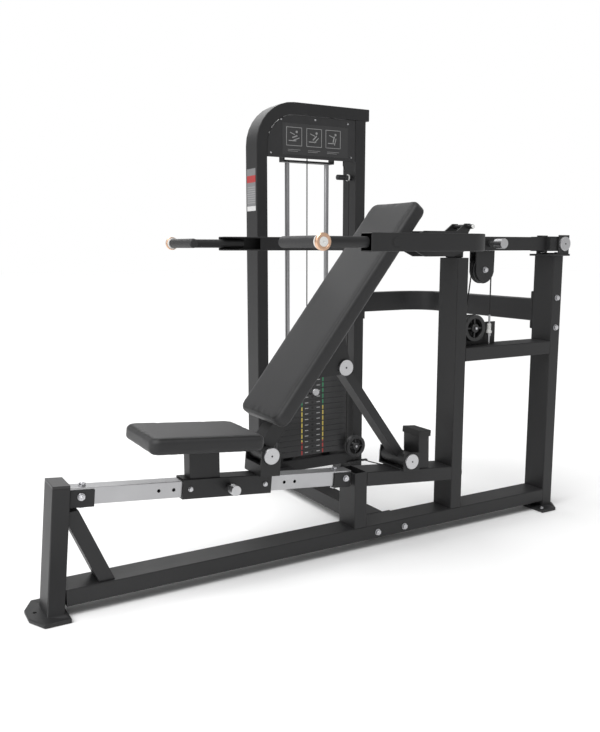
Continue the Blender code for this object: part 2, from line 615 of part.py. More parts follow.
def stack():
    half = PLATE_W / 2
    z0 = STACK_Z0 + RESTING * PLATE_T
    z1 = z0 + LIFTED * PLATE_T
    holes = [circle(0.0112, 12, -ROD_OFF, 0), circle(0.0112, 12, ROD_OFF, 0), circle(0.0115, 12)]
    where = plane((ROD_MID, TOWER_Y, z0), XX, YY)
    block = prism("plates_lifted", rounded(-half, -0.05, half, 0.05, 0.006, 1), holes,
                  LIFTED * PLATE_T - GAP, where, "iron")
    pin_z = z0 + PLATE_T / 2
    drill(block, [((ROD_MID, TOWER_Y - 0.06, pin_z), YY, XX, 0.0056, 0.055)])
    head = prism("head_plate", rounded(-half, -0.05, half, 0.05, 0.006, 1), holes, PLATE_T,
                 plane((ROD_MID, TOWER_Y, z1), XX, YY), "iron")
    stem = rod("selector_stem", [(ROD_MID, TOWER_Y, STACK_Z0 + 0.012), (ROD_MID, TOWER_Y, z1 + 0.075)],
               YY, 0.0095, 16, "satin")
    drill(stem, [((ROD_MID, TOWER_Y - 0.06, pin_z), YY, XX, 0.0056, 0.12)])
    knob = [(0, 0.010), (0.0050, 0.010), (0.0050, -0.0505), (0.0145, -0.0505), (0.0165, -0.058),
            (0.0165, -0.080), (0.0145, -0.084), (0, -0.084)]
    pin = lathe("selector_pin", knob, (ROD_MID, TOWER_Y, pin_z), YY, XX, 20, "disc")
    return block, head, stem, pin


def cable_run():
    """The lifting cable from the stack stem round the wheels to its anchor."""
    stem_top = STACK_Z0 + (RESTING + LIFTED) * PLATE_T + 0.0755
    high = 1.520
    pts = [(ROD_MID, TOWER_Y, stem_top), (ROD_MID, TOWER_Y, high)]
    pts += [(ROD_MID + 0.04 - 0.04 * math.cos(a), TOWER_Y, high + 0.04 * math.sin(a))
            for a in (0.5, 1.0, 1.57)]
    drop = LOW_WHEEL[0] - GROOVE_R
    pts += [(drop - 0.055, 0.767, high + 0.04)]
    pts += [(drop - 0.04 + 0.04 * math.sin(a), 0.767, high + 0.04 * math.cos(a)) for a in (0.3, 0.8, 1.3)]
    pts += [(drop, 0.767, 1.390), (drop, 0.755, 1.370), (drop, 0.722, 1.310), (drop, 0.722, LOW_WHEEL[1])]
    cx, cz = LOW_WHEEL
    pts += [(cx - GROOVE_R * math.cos(a), 0.722, cz - GROOVE_R * math.sin(a))
            for a in (0.35, 0.7, 1.05, 1.4)]
    yb, zb = BASE_WHEEL
    pts += [(cx + 0.002, 0.718, cz - 0.0505), (cx + 0.004, 0.706, cz - 0.0535),
            (CABLE_X + 0.006, 0.600, 0.094)]
    pts += [(CABLE_X, yb, zb - GROOVE_R)]
    pts += [(CABLE_X, yb - GROOVE_R * math.sin(a), zb - GROOVE_R * math.cos(a))
            for a in (0.4, 0.8, 1.2, 1.57)]
    gx, gz = GUIDE_WHEEL
    pts += [(gx - GROOVE_R, 0, gz)]
    lx, lz = LIFT_WHEEL
    for deg in (172, 148, 124, 100, 75, 50, 25, 0):
        a = math.radians(deg)
        pts.append((lx + GROOVE_R * math.cos(a), 0, lz + GROOVE_R * math.sin(a)))
    pts.append((lx + GROOVE_R, 0, 0.7880))
    curve = bpy.data.curves.new("lift_cable", "CURVE")
    curve.dimensions = "3D"
    curve.bevel_depth = CABLE_R
    curve.bevel_resolution = 1
    curve.use_fill_caps = True
    spline = curve.splines.new("POLY")
    spline.points.add(len(pts) - 1)
    for p, q in zip(spline.points, pts):
        p.co = (*q, 1)
    ob = bpy.data.objects.new("lift_cable", curve)
    bpy.context.scene.collection.objects.link(ob)
    curve.materials.append(material("lift_cable", *LOOK["cable"]))
    return ob


# ---------------------------------------------------------------- joints
def empty(name, at, parent=None):
    e = bpy.data.objects.new(name, None)
    bpy.context.scene.collection.objects.link(e)
    e.location = at
    if parent:
        e.parent = parent
        e.matrix_parent_inverse = Matrix.Translation(parent.matrix_world.translation).inverted()
    bpy.context.view_layer.update()
    return e


def hang(objects, joint):
    for ob in objects:
        ob.parent = joint
        ob.matrix_parent_inverse = joint.matrix_world.inverted()


floor_frame()
rail_group()
support_group()
saddle()
tower()
floor_links()
wheel_set = wheels()

slide_joint = empty("joint_bench_slide", rail_at(LOCK_X))
hang(bench(), slide_joint)
back_joint = empty("joint_backrest", (PIVOT_BACK[0], 0, PIVOT_BACK[1]), slide_joint)
hang(backrest(), back_joint)
strut_joint = empty("joint_strut", (PIVOT_LOW[0], 0, PIVOT_LOW[1]))
hang(strut(), strut_joint)
lock_at = rail_at(LOCK_X)
lock_joint = empty("joint_bench_pin", lock_at, slide_joint)
hang([pop_pin("bench_pin", lock_at.x, lock_at.z, -0.0258, -0.0560, -0.0850, 0.016)], lock_joint)

lever_joint = empty("joint_press", (LEVER_AXIS[0], 0, LEVER_AXIS[1]))
hang(press_arm(), lever_joint)
lever_pin_joint = empty("joint_lever_pin", (1.615, -0.05, ARM_Z), lever_joint)
hang([pop_pin("lever_pin", 1.615, ARM_Z, -0.0310, -0.0670, -0.1050, 0.018)], lever_pin_joint)
for side_tag, side_sign in (("near", -1), ("far", 1)):
    turn = empty(f"joint_handle_{side_tag}", (SWIVEL_X, side_sign * ARM_Y, ARM_Z), lever_joint)
    hang(handle(side_tag, side_sign), turn)
lift_turn = empty("joint_lift_wheel", (LIFT_WHEEL[0], 0, LIFT_WHEEL[1]), lever_joint)
hang([wheel_set["lift_wheel"]], lift_turn)
hang([wheel_set["guide_wheel"]], empty("joint_guide_wheel", (GUIDE_WHEEL[0], 0, GUIDE_WHEEL[1])))
hang([wheel_set["low_wheel"]], empty("joint_low_wheel", (LOW_WHEEL[0], 0.722, LOW_WHEEL[1])))
hang([wheel_set["base_wheel"]], empty("joint_base_wheel", (CABLE_X, *BASE_WHEEL)))

lifted_block, head_plate, stem, pin = stack()
stack_joint = empty("joint_stack", (ROD_MID, TOWER_Y, STACK_Z0 + RESTING * PLATE_T))
hang([lifted_block, head_plate, stem], stack_joint)
pin_at = (ROD_MID, TOWER_Y - 0.06, STACK_Z0 + RESTING * PLATE_T)
hang([pin], empty("joint_selector_pin", pin_at, stack_joint))
cable_run()
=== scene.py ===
# %% [markdown]
# An adjustable press machine: a padded bench that slides on a rail, a press arm that swings
# over it, and a tower of weight plates at the side.  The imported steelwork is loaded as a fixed
# frame first, because every piece made here has to sit on it and move with it.
# %% Load the frame
import json
import math

import bmesh
import bpy
import numpy as np
from mathutils import Matrix, Vector


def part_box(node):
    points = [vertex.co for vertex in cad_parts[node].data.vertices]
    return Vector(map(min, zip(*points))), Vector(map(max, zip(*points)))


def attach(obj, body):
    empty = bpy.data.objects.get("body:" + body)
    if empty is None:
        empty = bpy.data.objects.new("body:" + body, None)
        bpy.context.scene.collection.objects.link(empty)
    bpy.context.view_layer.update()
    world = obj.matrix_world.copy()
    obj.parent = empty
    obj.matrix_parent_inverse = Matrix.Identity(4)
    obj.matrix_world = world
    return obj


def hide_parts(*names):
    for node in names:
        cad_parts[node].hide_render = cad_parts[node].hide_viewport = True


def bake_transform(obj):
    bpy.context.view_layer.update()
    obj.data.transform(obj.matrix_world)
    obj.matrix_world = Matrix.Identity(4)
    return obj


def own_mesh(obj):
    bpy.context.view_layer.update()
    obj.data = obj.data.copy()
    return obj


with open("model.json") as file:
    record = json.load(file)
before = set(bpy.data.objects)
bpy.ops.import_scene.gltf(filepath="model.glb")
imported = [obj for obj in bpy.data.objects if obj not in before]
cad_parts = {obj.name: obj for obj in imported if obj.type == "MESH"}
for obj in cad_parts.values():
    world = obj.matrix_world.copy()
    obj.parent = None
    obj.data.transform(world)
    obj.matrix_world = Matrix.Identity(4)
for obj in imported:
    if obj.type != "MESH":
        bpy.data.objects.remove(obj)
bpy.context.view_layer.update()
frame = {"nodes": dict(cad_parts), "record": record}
SLOT = {part["node"]: part["material_slot"] for part in frame["record"]["subparts"]}
XX, YY, ZZ = Vector((1, 0, 0)), Vector((0, 1, 0)), Vector((0, 0, 1))
print("loaded", len(frame["nodes"]), "steel and moulded parts")

# %% [markdown]
# The camera stands low and to the front left of the seat.  Its place, turn and lens come
# from the machine's own straight edges, so the tubes run off at the right slopes.
# %% Camera
lens = bpy.data.cameras.new("camera")
camera = bpy.data.objects.new("camera", lens)
bpy.context.scene.collection.objects.link(camera)
camera.location = (-0.4373, -2.1995, 1.0348)
camera.rotation_euler = (math.radians(81.01), 0, math.radians(-30.119))
lens.lens = 38.80
lens.sensor_width = 36
lens.shift_x = -0.0010
lens.shift_y = 0.0091
bpy.context.scene.camera = camera


# %% [markdown]
# A finish is a graph of shader nodes.  Writing it as arithmetic keeps it readable, so one
# small class wraps a socket: adding or multiplying two of them adds the Math node.
# %% Shader arithmetic
class Signal:
    def __init__(self, tree, socket=None):
        self.tree = tree
        self.socket = socket

    def node(self, kind, settings=None, inputs=None, output=0):
        """Add any node: its settings first, then the values or links of its sockets."""
        made = self.tree.nodes.new(kind)
        for key, value in (settings or {}).items():
            setattr(made, key, value)
        for key, value in (inputs or {}).items():
            if isinstance(value, Signal):
                self.tree.links.new(value.socket, made.inputs[key])
            else:
                made.inputs[key].default_value = value
        return Signal(self.tree, made.outputs[output])

    def maths(self, operation, *values):
        return self.node("ShaderNodeMath", {"operation": operation}, dict(enumerate(values)))

    def __add__(self, other):
        return self.maths("ADD", self, other)

    def __sub__(self, other):
        return self.maths("SUBTRACT", self, other)

    def __rsub__(self, other):
        return self.maths("SUBTRACT", other, self)

    def __mul__(self, other):
        return self.maths("MULTIPLY", self, other)

    def __lt__(self, other):
        return self.maths("LESS_THAN", self, other)

    def __gt__(self, other):
        return self.maths("GREATER_THAN", self, other)

    def __abs__(self):
        return self.maths("ABSOLUTE", self)

    def __mod__(self, other):
        return self.maths("FLOORED_MODULO", self, other)

    __radd__ = __add__
    __rmul__ = __mul__


def noise(at, scale, detail=3.0, rough=0.5):
    """Soft random field from 0 to 1 over the given position."""
    return at.node("ShaderNodeTexNoise", None,
                   {"Vector": at, "Scale": scale, "Detail": detail, "Roughness": rough})


def stretch(at, factors):
    """The position scaled by a different factor along each axis."""
    return at.node("ShaderNodeMapping", None, {"Vector": at, "Scale": factors})


def mixed(mask, one, two):
    """Colour one where the mask is 0 and colour two where it is 1."""
    made = mask.tree.nodes.new("ShaderNodeMix")
    made.data_type = "RGBA"
    made.clamp_factor = True
    mask.tree.links.new(mask.socket, made.inputs[0])
    for socket, colour in ((made.inputs[6], one), (made.inputs[7], two)):
        if isinstance(colour, Signal):
            mask.tree.links.new(colour.socket, socket)
        else:
            socket.default_value = (*colour, 1)
    return Signal(mask.tree, made.outputs[2])


def new_finish(name, metallic=0.0, coat=0.0, gloss=0.5):
    """A named material, its object position and its surface node."""
    made = bpy.data.materials.new(name)
    made.use_nodes = True
    tree = made.node_tree
    surface = tree.nodes["Principled BSDF"]
    surface.inputs["Metallic"].default_value = metallic
    surface.inputs["Coat Weight"].default_value = coat
    surface.inputs["Specular IOR Level"].default_value = gloss
    at = Signal(tree).node("ShaderNodeTexCoord", output=3)
    return made, at, surface


def dress(surface, colour, rough, height=None, strength=0.2, reach=0.001):
    """Plug colour, roughness and a bump height into the surface."""
    for key, value in (("Base Color", colour), ("Roughness", rough)):
        colour.tree.links.new(value.socket, surface.inputs[key])
    if height is not None:
        bump = height.node("ShaderNodeBump", None,
                           {"Height": height, "Strength": strength, "Distance": reach})
        colour.tree.links.new(bump.socket, surface.inputs["Normal"])


# %% [markdown]
# The frame is welded steel tube under a matte black powder coat.  The powder leaves a fine
# pebble and small differences of sheen, so two sizes of noise drive the bump and roughness.
# %% Powder coat
def powder_coat(name, dark, light):
    made, at, surface = new_finish(name, gloss=0.38)
    cloud = noise(at, 9.0, 4.0)
    pebble = noise(at, 1500.0, 2.0)
    rough = 0.38 + cloud * 0.14 + pebble * 0.06
    dress(surface, mixed(cloud, dark, light), rough, pebble, 0.10, 0.0004)
    return made


paint = powder_coat("powder_coat", (0.0130, 0.0130, 0.0137), (0.0205, 0.0205, 0.0212))
paint_deep = powder_coat("powder_coat_arm", (0.0125, 0.0125, 0.0132), (0.0200, 0.0200, 0.0206))


# %% [markdown]
# The pads are covered in charcoal vinyl.  Its grain is a net of small rounded cells, which a
# Voronoi field gives at the right size, over a slow change of tone from handling.
# %% Upholstery vinyl
SEAM_SHADE_DEPTH, SEAM_SHADE_HALF = 0.0045, 0.0016


def upholstery_vinyl(name, facing, level):
    """Grained vinyl with a near-black line of painted shade in the seam's crease at the given level
    along facing.
    """
    made, at, surface = new_finish(name, gloss=0.35)
    height = at.node("ShaderNodeVectorMath", {"operation": "DOT_PRODUCT"},
                     {0: at, 1: tuple(facing)}, output=1)
    seam_shade = abs(height - level) < SEAM_SHADE_HALF
    cells = at.node("ShaderNodeTexVoronoi", {"feature": "DISTANCE_TO_EDGE"},
                    {"Vector": at, "Scale": 620.0})
    crease = cells.maths("MINIMUM", cells * 6.0, 1.0)
    tone = noise(at, 7.0, 3.0)
    fine = noise(at, 2400.0, 2.0)
    colour = mixed(tone, (0.0160, 0.0160, 0.0168), (0.0215, 0.0215, 0.0224))
    # Painted shade: a near-black line along the stitched seam, where shade falls in its crease.
    colour = mixed(seam_shade, colour, (0.0035, 0.0035, 0.0035))
    surface.inputs["Sheen Weight"].default_value = 0.08
    dress(surface, colour, 0.50 + tone * 0.10 - crease * 0.04, crease + fine * 0.4, 0.16, 0.0005)
    return made


# %% [markdown]
# Bright parts come in three kinds: the rail and guide rods are plated and drawn lengthwise,
# the pivot discs are faced on a lathe, and the fasteners are zinc plated.
# %% Bright metal
def drawn_steel(name, factors, tone):
    made, at, surface = new_finish(name, metallic=1.0)
    lines = noise(stretch(at, factors), 1.0, 3.0, 0.6)
    smudge = noise(at, 14.0, 3.0)
    colour = mixed(smudge, tone, tuple(c * 0.86 for c in tone))
    dress(surface, colour, 0.20 + lines * 0.14 + smudge * 0.08, lines, 0.06, 0.0003)
    return made


rail_steel = drawn_steel("satin_rail", (6, 900, 900), (0.46, 0.46, 0.47))
rod_steel = drawn_steel("chromed_rod", (900, 900, 5), (0.40, 0.40, 0.41))
zinc = drawn_steel("zinc_plate", (300, 300, 300), (0.60, 0.60, 0.62))


def faced_aluminium(name, centre):
    """Lathe rings about the Y axis through centre."""
    made, at, surface = new_finish(name, metallic=1.0)
    off = at.node("ShaderNodeVectorMath", {"operation": "SUBTRACT"}, {0: at, 1: centre})
    flat = off.node("ShaderNodeVectorMath", {"operation": "MULTIPLY"}, {0: off, 1: (1, 0, 1)})
    radius = flat.node("ShaderNodeVectorMath", {"operation": "LENGTH"}, {0: flat}, output=1)
    rings = radius.maths("SINE", radius * 5200.0) * 0.5 + 0.5
    smudge = noise(at, 60.0, 3.0)
    colour = mixed(rings, (0.46, 0.46, 0.47), (0.60, 0.60, 0.61))
    dress(surface, colour, 0.26 + rings * 0.10 + smudge * 0.08, rings, 0.10, 0.0002)
    return made


# %% [markdown]
# Rubber, moulded plastic, cable jacket and the small white and copper end rings only need
# the right tone, gloss and a little grain, so one recipe with a few numbers serves them all.
# %% Rubber and plastic
def moulded(name, dark, light, rough, grain, depth, metallic=0.0):
    made, at, surface = new_finish(name, metallic)
    tone = noise(at, 25.0, 3.0)
    speck = noise(at, grain, 2.0)
    rough = rough + tone * 0.10 + speck * 0.05
    dress(surface, mixed(tone, dark, light), rough, speck, depth, 0.0004)
    return made


rubber = moulded("moulded_rubber", (0.012, 0.012, 0.012), (0.022, 0.022, 0.022), 0.62, 900.0, 0.3)
grip_rubber = moulded("grip_rubber", (0.016, 0.016, 0.017), (0.028, 0.028, 0.029),
                      0.50, 1300.0, 0.4)
black_plastic = moulded("black_plastic", (0.016, 0.016, 0.017), (0.026, 0.026, 0.027),
                        0.34, 700.0, 0.1)
cable_jacket = moulded("cable_jacket", (0.004, 0.004, 0.004), (0.007, 0.007, 0.007),
                       0.60, 600.0, 0.2)
white_plastic = moulded("white_plastic", (0.66, 0.66, 0.64), (0.76, 0.76, 0.75), 0.28, 500.0, 0.05)
copper = moulded("copper_ring", (0.70, 0.44, 0.30), (0.80, 0.54, 0.38), 0.22, 800.0, 0.05, 1.0)
sign_grey = moulded("sign_panel", (0.030, 0.030, 0.031), (0.038, 0.038, 0.039), 0.40, 900.0, 0.05)
sign_white = moulded("sign_print", (0.26, 0.26, 0.26), (0.34, 0.34, 0.34), 0.45, 900.0, 0.02)


# %% [markdown]
# Objects are shaped with the same operators as by hand.  Each helper clears the selection
# first, because an operator acts on everything that is selected.
# %% Modelling helpers
def calm():
    active = bpy.context.view_layer.objects.active
    if active is not None and active.mode != "OBJECT":
        bpy.ops.object.mode_set(mode="OBJECT")
    bpy.ops.object.select_all(action="DESELECT")


def grab(*pieces):
    """Select only these pieces, the first one active."""
    calm()
    for piece in pieces:
        piece.select_set(True)
    bpy.context.view_layer.objects.active = pieces[0]


def settle(piece):
    """Put the piece's place, turn and scale into its mesh."""
    grab(piece)
    bpy.ops.object.transform_apply(location=True, rotation=True, scale=True)
    return piece


def modify(piece, kind, **settings):
    """Add one modifier and apply it."""
    grab(piece)
    made = piece.modifiers.new(kind.lower(), kind)
    for key, value in settings.items():
        setattr(made, key, value)
    bpy.ops.object.modifier_apply(modifier=made.name)
    return piece


def soften(piece, width, segments=2, angle=40):
    """Round the sharp edges and shade the curves smoothly."""
    modify(piece, "BEVEL", width=width, segments=segments, limit_method="ANGLE",
           angle_limit=math.radians(angle), use_clamp_overlap=True)
    return polish(piece)


def polish(piece, angle=42):
    grab(piece)
    bpy.ops.object.shade_smooth_by_angle(angle=math.radians(angle))
    return modify(piece, "WEIGHTED_NORMAL", keep_sharp=True, weight=80)


def aim(centre, axis):
    """Place at centre with local Z along axis."""
    return Matrix.Translation(centre) @ Vector(axis).to_track_quat("Z", "Y").to_matrix().to_4x4()


def shaft(name, radius, depth, centre, axis, sides=32, edge=0.0008):
    calm()
    bpy.ops.mesh.primitive_cylinder_add(vertices=sides, radius=radius, depth=depth)
    piece = bpy.context.object
    piece.name = name
    piece.matrix_world = aim(centre, axis)
    settle(piece)
    return soften(piece, edge)


def slab(name, low, high, edge=0.0015, turn=0.0, segments=2):
    """Block between two corners, turned about Y through its middle, with eased edges."""
    low, high = Vector(low), Vector(high)
    calm()
    bpy.ops.mesh.primitive_cube_add(size=1, location=(low + high) / 2)
    piece = bpy.context.object
    piece.name = name
    piece.scale = high - low
    piece.rotation_euler = (0, turn, 0)
    settle(piece)
    return soften(piece, edge, segments)


def turned(name, profile, centre, axis, steps=48):
    """A closed profile of (radius, height) spun round, as on a lathe."""
    calm()
    mesh = bpy.data.meshes.new(name)
    count = len(profile)
    ring = [(i, (i + 1) % count) for i in range(count)]
    mesh.from_pydata([(r, 0, h) for r, h in profile], ring, [])
    piece = bpy.data.objects.new(name, mesh)
    bpy.context.scene.collection.objects.link(piece)
    grab(piece)
    bpy.ops.object.mode_set(mode="EDIT")
    bpy.ops.mesh.select_all(action="SELECT")
    bpy.ops.mesh.spin(steps=steps, angle=math.tau, center=(0, 0, 0), axis=(0, 0, 1))
    bpy.ops.mesh.select_all(action="SELECT")
    bpy.ops.mesh.remove_doubles(threshold=0.00002)
    bpy.ops.mesh.dissolve_degenerate(threshold=0.00001)
    bpy.ops.mesh.normals_make_consistent(inside=False)
    bpy.ops.object.mode_set(mode="OBJECT")
    piece.matrix_world = aim(centre, axis)
    settle(piece)
    return polish(piece, 30)


def joined(name, pieces):
    grab(*pieces)
    bpy.ops.object.join()
    pieces[0].name = name
    return pieces[0]


def copied(piece, name, move):
    """A copy with its own mesh, moved by a matrix."""
    made = bpy.data.objects.new(name, piece.data.copy())
    bpy.context.scene.collection.objects.link(made)
    made.data.transform(move)
    made.data.update()
    return made


def fit(piece, body, slot, finish, *nodes):
    """Paint a finished piece, hang it on its body and hide the nodes it stands for."""
    if finish is not None:
        piece.data.materials.clear()
        piece.data.materials.append(finish)
    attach(piece, body)
    if nodes:
        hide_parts(*nodes)
    return piece


def body_of_node(node):
    found = frame["record"]["behaviour"]["bodies"]
    return next(body for body, names in found.items() if node in names)


# %% [markdown]
# Real square tube has rounded corners, and plates have broken edges.  A copy of each steel
# part is merged, its flat faces are joined up, and only the outer edges of faces that are
# wide enough are bevelled, so a thin wall at a tube's open end keeps its thickness.
# %% Rounded steelwork
def rounded_steel(node, radius, finish):
    source = frame["nodes"][node]
    piece = bpy.data.objects.new(f"{node}_rounded", source.data.copy())
    bpy.context.scene.collection.objects.link(piece)
    grab(piece)
    bpy.ops.object.mode_set(mode="EDIT")
    bpy.ops.mesh.select_all(action="SELECT")
    bpy.ops.mesh.remove_doubles(threshold=0.00001)
    bpy.ops.mesh.dissolve_limited(angle_limit=math.radians(1.0))
    bpy.ops.mesh.select_mode(type="EDGE")
    bpy.ops.mesh.select_all(action="DESELECT")
    shape = bmesh.from_edit_mesh(piece.data)
    for edge in shape.edges:
        if len(edge.link_faces) != 2 or not edge.is_convex:
            continue
        if edge.calc_face_angle(0) < math.radians(35) or edge.calc_length() < 2 * radius:
            continue
        widths = [face.calc_area() / max(e.calc_length() for e in face.edges)
                  for face in edge.link_faces]
        edge.select = min(widths) > 2.2 * radius
    bmesh.update_edit_mesh(piece.data)
    bpy.ops.mesh.bevel(offset=radius, segments=3, affect="EDGES", clamp_overlap=True)
    bpy.ops.object.mode_set(mode="OBJECT")
    polish(piece, 42)
    return fit(piece, body_of_node(node), SLOT[node], finish, node)


TUBES = ("main_beam", "front_post", "short_post", "middle_post", "rear_post", "support_beam",
         "upper_beam", "rest_post", "tower_frame", "tower_upright", "tower_base_beam", "cross_beam",
         "upper_cross_tube", "seat_post", "carriage_sleeve", "backrest_frame")
ARM_STEEL = ("press_yoke", "press_lever")
PLATES = ("front_brace", "rail_front_bracket", "rail_rear_bracket", "strut_bracket", "lever_saddle",
          "rod_bracket", "guide_bracket", "low_wheel_bracket", "seat_plate", "back_bracket",
          "backrest_strut", "wheel_hanger")
for node in TUBES:
    rounded_steel(node, 0.0035, paint)
for node in ARM_STEEL:
    rounded_steel(node, 0.0035, paint_deep)
for node in PLATES:
    rounded_steel(node, 0.0012, paint)
rounded_steel("slide_rail", 0.0030, rail_steel)
rounded_steel("front_post_cap", 0.0020, black_plastic)
rounded_steel("rest_pad", 0.0050, rubber)
rounded_steel("post_bumper", 0.0040, rubber)
print("rounded", len(TUBES) + len(ARM_STEEL) + len(PLATES) + 4, "pieces")


# %% [markdown]
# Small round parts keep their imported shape.  They only need their finish, and the pivot
# discs get rings centred on their own axle.
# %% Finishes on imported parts
def repaint(node, finish):
    target = frame["nodes"][node].data
    target.materials.clear()
    target.materials.append(finish)


for node in ("guide_rod_left", "guide_rod_right", "selector_stem", "cable_anchor"):
    repaint(node, rod_steel)
for node in ("stack_bumper_left", "stack_bumper_right"):
    repaint(node, rubber)


def middle(node):
    low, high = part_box(node)
    return (low + high) / 2


PIVOTS = ("back_pin", "strut_pin", "strut_top_pin", "lever_axle", "bench_pin", "lever_pin",
          "selector_pin")
for node in PIVOTS:
    repaint(node, faced_aluminium(f"turned_{node}", middle(node)))

# %% [markdown]
# A hex bolt head is a six-sided cylinder with a chamfer, sitting on a washer.  It is made
# once at each size and copied to every place, turned to face out of its plate.
# %% Bolt heads
def bolt_head(across, name):
    """Head and washer standing on Z = 0."""
    calm()
    bpy.ops.mesh.primitive_cylinder_add(vertices=6, radius=across * 0.577, depth=across * 0.42)
    head = bpy.context.object
    head.location = (0, 0, 0.0012 + across * 0.21)
    settle(head)
    soften(head, across * 0.07, 2)
    rim = across * 0.66
    ring = [(0, 0), (rim, 0), (rim, 0.0010), (rim - 0.0004, 0.0014), (0, 0.0014)]
    washer = turned("washer", ring, (0, 0, 0), ZZ, 32)
    stub = [(0, 0), (across * 0.26, 0), (across * 0.26, across * 0.50),
            (across * 0.20, across * 0.56), (0, across * 0.56)]
    end = turned("bolt_end", stub, (0, 0, 0), ZZ, 20)
    return joined(name, [head, washer, end])


LARGE, SMALL = 0.017, 0.012
master_large = bolt_head(LARGE, "bolt_master_large")
master_small = bolt_head(SMALL, "bolt_master_small")


def bolts(name, body, places, master=None):
    """One piece holding a bolt head at each (centre, axis)."""
    made = [copied(master or master_large, f"{name}_{i}", aim(at, axis))
            for i, (at, axis) in enumerate(places)]
    whole = joined(name, made) if len(made) > 1 else made[0]
    return fit(whole, body, "satin_steel", zinc)


RAIL_SLOPE = 0.0884
RAIL_Z = 0.3483
lift = Vector((RAIL_SLOPE, 0, 1)).normalized()


def rail(x, rise=0.0, side=0.0):
    """A point on the rail's centre line at X, raised square to it."""
    return Vector((x, side, RAIL_Z - RAIL_SLOPE * x)) + lift * rise


BEAM_SIDE, NUT_SIDE, SLEEVE_SIDE, FOOT_TOP = 0.050, 0.0587, 0.0312, 0.0122
bolts("beam_bolts", "frame", [((x, -BEAM_SIDE, 0.052), -YY) for x in (1.122, 1.238)])
bolts("cross_beam_nuts", "frame", [((x, NUT_SIDE, 0.052), YY) for x in (1.122, 1.238)])
bolts("rear_post_bolts", "frame", [((1.955, -BEAM_SIDE, z), -YY) for z in (0.844, 0.729)])
bolts("rear_flange_nuts", "frame",
      [((1.955, NUT_SIDE, z), YY) for z in (0.8495, 0.7335)], master_small)
bolts("tower_flange_bolts", "frame", [((1.6077, 0.828, z), XX) for z in (0.742, 0.842)])
bolts("saddle_bolts", "frame", [((1.955, y, 1.0122), ZZ) for y in (-0.034, 0.034)], master_small)
bolts("rail_side_bolts", "frame",
      [((x, s * SLEEVE_SIDE, rail(x).z), s * YY) for x in (0.104, 0.998) for s in (-1, 1)])
bolts("rail_top_bolts", "frame", [(rail(x, 0.0252), lift) for x in (0.113, 0.968)])
bolts("rail_under_nuts", "frame", [(rail(x, -SLEEVE_SIDE), -lift) for x in (0.113, 0.968)])
bolts("rod_bracket_bolts", "frame", [((x, 0.796, 1.3918), -ZZ) for x in (1.2335, 1.4295)])
bolts("sleeve_bolts", "carriage",
      [((x, s * SLEEVE_SIDE, rail(x).z), s * YY) for x in (0.434, 0.689) for s in (-1, 1)],
      master_small)
bolts("foot_bolts_rear", "frame",
      [((1.905, y, FOOT_TOP), ZZ) for y in (-0.072, 0.072)], master_small)
bolts("foot_bolts_tower", "frame",
      [((x, y, FOOT_TOP), ZZ) for x in (1.089, 1.574) for y in (0.726, 0.866)], master_small)
GUIDE_HUB, LIFT_HUB = Vector((1.579, 0, 0.741)), Vector((1.609, 0, 0.955))
bolts("hanger_bolts", "press_arm", [(LIFT_HUB + YY * s * 0.0184, s * YY) for s in (-1, 1)])
bolts("guide_bolt", "frame", [(GUIDE_HUB + YY * 0.0207, YY)])

# %% [markdown]
# Over each handle's swivel the arm's outer side has a round hole, mostly filled by a painted
# boss that stands a little behind its middle.  The hole is a thin black disc of painted shade,
# so that a dark crescent of painted shade shows beside the boss.
# %% Arm ends
SWIVEL_X, ARM_Y, ARM_Z, ARM_SIDE = 0.850, 0.461, 1.050, 0.4863
HOLE_SHADE_R, BOSS_R, HOLE_SHADE_T, BOSS_T, BOSS_OFF = 0.0125, 0.0122, 0.0004, 0.0016, 0.0035
for tag, side in (("near", -1), ("far", 1)):
    mouth = (SWIVEL_X, side * ARM_SIDE, ARM_Z)
    # A thin near-black disc: painted shade for the gap round the boss.
    hole_shade = shaft(f"arm_end_hole_shade_{tag}", HOLE_SHADE_R, HOLE_SHADE_T, mouth, YY, 40, 0.0001)
    fit(hole_shade, "press_arm", "rubber", rubber)
    raised = (SWIVEL_X + BOSS_OFF, side * (ARM_SIDE + BOSS_T / 2), ARM_Z)
    boss = shaft(f"arm_end_boss_{tag}", BOSS_R, BOSS_T, raised, YY, 40, 0.0004)
    fit(boss, "press_arm", "paint", paint)

# %% [markdown]
# A cable wheel is a moulded rim with a rounded groove, four spokes and a bearing hub.  Rim
# and hub are turned, one spoke is eased and copied round, and the wheel is then copied.
# %% Cable wheels
WHEEL_R, FLOOR_R = 0.0498, 0.0438


def cable_wheel(name, centre, axis, body, node):
    groove = [(0.0365, -0.0106), (0.0480, -0.0106), (WHEEL_R, -0.0092), (0.0470, -0.0060),
              (0.0448, -0.0030), (FLOOR_R, 0.0), (0.0448, 0.0030), (0.0470, 0.0060),
              (WHEEL_R, 0.0092), (0.0480, 0.0106), (0.0365, 0.0106), (0.0350, 0.0090),
              (0.0350, -0.0090)]
    hub = [(0.0057, -0.0122), (0.0150, -0.0122), (0.0165, -0.0105), (0.0165, 0.0105),
           (0.0150, 0.0122), (0.0057, 0.0122)]
    parts = [turned("rim", groove, (0, 0, 0), ZZ, 56), turned("hub", hub, (0, 0, 0), ZZ, 36)]
    for quarter in range(4):
        spoke = slab("spoke", (0.0150, -0.0032, -0.0060), (0.0362, 0.0032, 0.0060), 0.0012)
        spoke.data.transform(Matrix.Rotation(quarter * math.pi / 2, 4, "Z"))
        parts.append(spoke)
    whole = joined(name, parts)
    whole.matrix_world = aim(centre, axis)
    settle(whole)
    return fit(whole, body, "plastic", black_plastic, node)


BASE_HUB, LOW_HUB = middle("base_wheel"), middle("low_wheel")
wheels = (("lift", LIFT_HUB, YY, "arm_pulley"), ("guide", GUIDE_HUB, YY, "guide_pulley"),
          ("low", LOW_HUB, YY, "low_pulley"), ("base", BASE_HUB, XX, "base_pulley"))
for tag, hub, axis, body in wheels:
    cable_wheel(f"{tag}_cable_wheel", hub, axis, body, f"{tag}_wheel")


